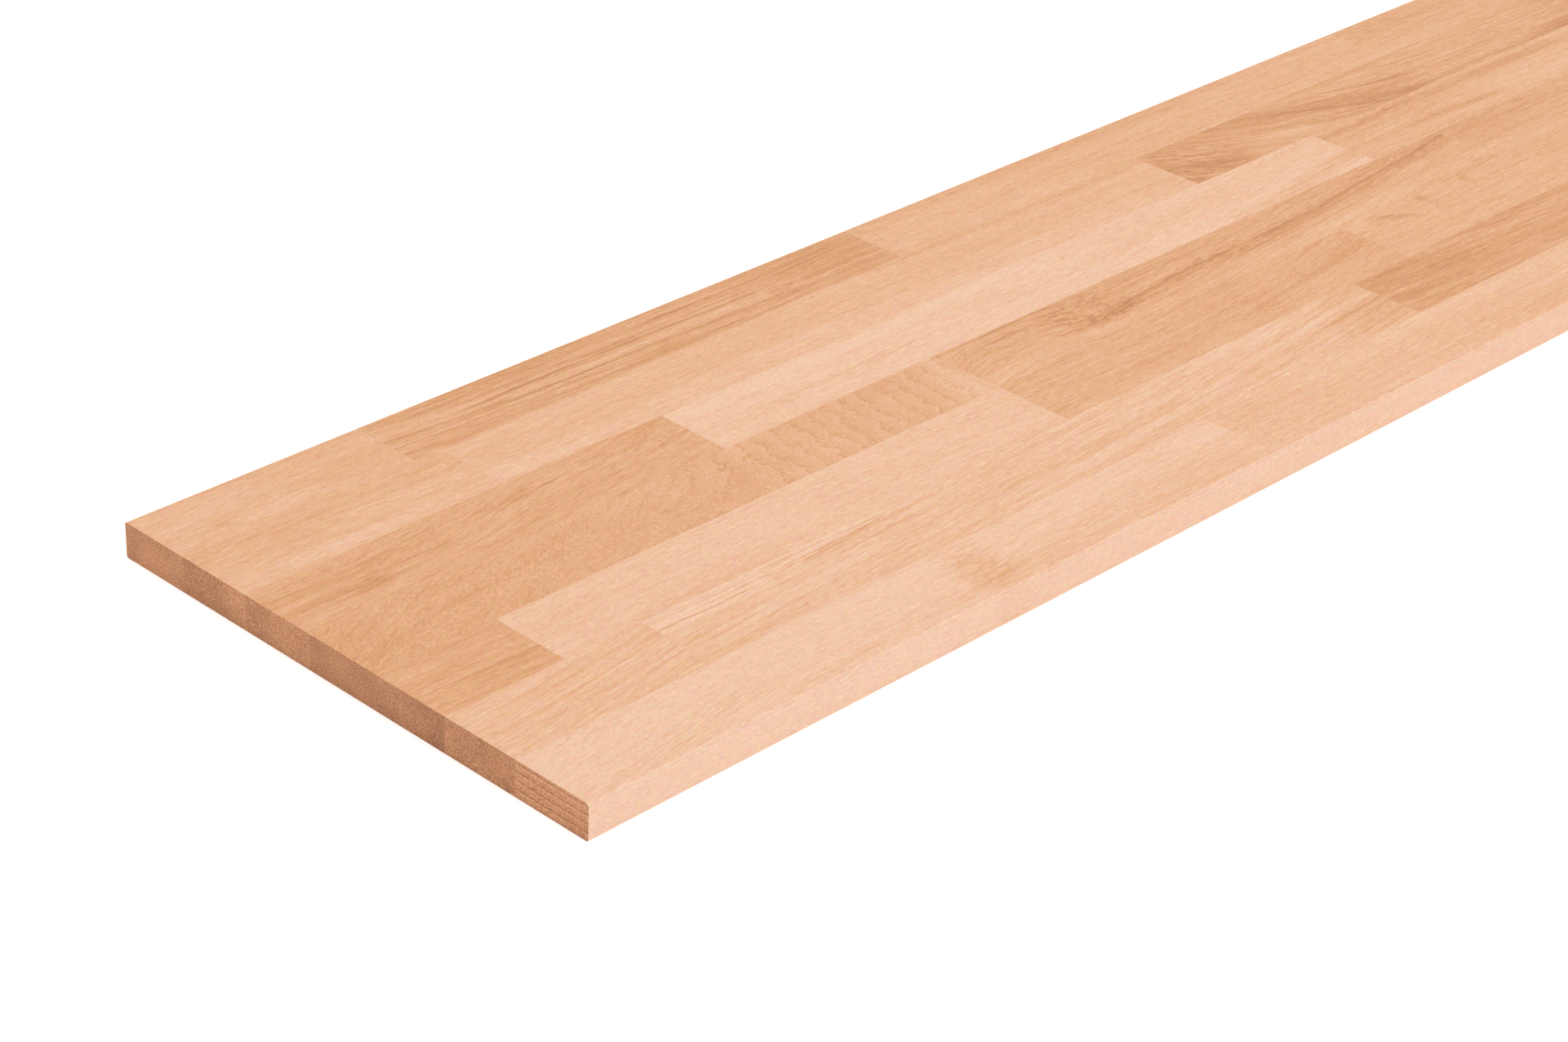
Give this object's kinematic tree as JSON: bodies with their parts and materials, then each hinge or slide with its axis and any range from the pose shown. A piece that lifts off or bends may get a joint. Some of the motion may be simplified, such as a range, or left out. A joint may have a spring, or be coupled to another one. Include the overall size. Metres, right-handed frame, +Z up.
{
  "type": "edge-glued wood board",
  "caption": "Wide, thin solid beech board of finger-jointed staves glued edge to edge, with eased long edges and square ends, for sills, thresholds, treads or shelves.",
  "frame": {"origin": "middle of the underside, where the board rests", "axes": "+X along the grain, from the square-cut left end to the right end; +Y across the rows, from the front edge to the back edge; +Z up through the thickness"},
  "size_m": [1.2, 0.3, 0.018],
  "materials": {
    "pale_beech": "sanded, unfinished, pale pinkish cream",
    "light_beech": "sanded, unfinished, light pinkish tan",
    "tan_beech": "sanded, unfinished, medium tan with fine streaks",
    "brown_beech": "sanded, unfinished, darker tan with brown streaks",
    "wood_glue": "clear cured wood glue, hairline"
  },
  "bodies": {
    "root": {"stave_1a": "pale_beech", "stave_1b": "pale_beech", "stave_1c": "light_beech", "stave_2a": "light_beech", "stave_2b": "pale_beech", "stave_2c": "brown_beech", "stave_2d": "tan_beech", "stave_3a": "brown_beech", "stave_3b": "pale_beech", "stave_3c": "tan_beech", "stave_3d": "tan_beech", "stave_3e": "light_beech", "stave_4a": "tan_beech", "stave_4b": "tan_beech", "stave_4c": "tan_beech", "stave_4d": "light_beech", "stave_5a": "brown_beech", "stave_5b": "pale_beech", "stave_5c": "tan_beech", "stave_5d": "light_beech", "stave_6a": "light_beech", "stave_6b": "light_beech", "stave_6c": "brown_beech", "stave_6d": "tan_beech", "stave_7a": "light_beech", "stave_7b": "brown_beech", "stave_7c": "light_beech", "stave_7d": "tan_beech", "edge_glue_1_2": "wood_glue", "edge_glue_2_3": "wood_glue", "edge_glue_3_4": "wood_glue", "edge_glue_4_5": "wood_glue", "edge_glue_5_6": "wood_glue", "edge_glue_6_7": "wood_glue", "finger_glue_row_1": "wood_glue", "finger_glue_row_2": "wood_glue", "finger_glue_row_3": "wood_glue", "finger_glue_row_4": "wood_glue", "finger_glue_row_5": "wood_glue", "finger_glue_row_6": "wood_glue", "finger_glue_row_7": "wood_glue"}
  },
  "joints": []
}
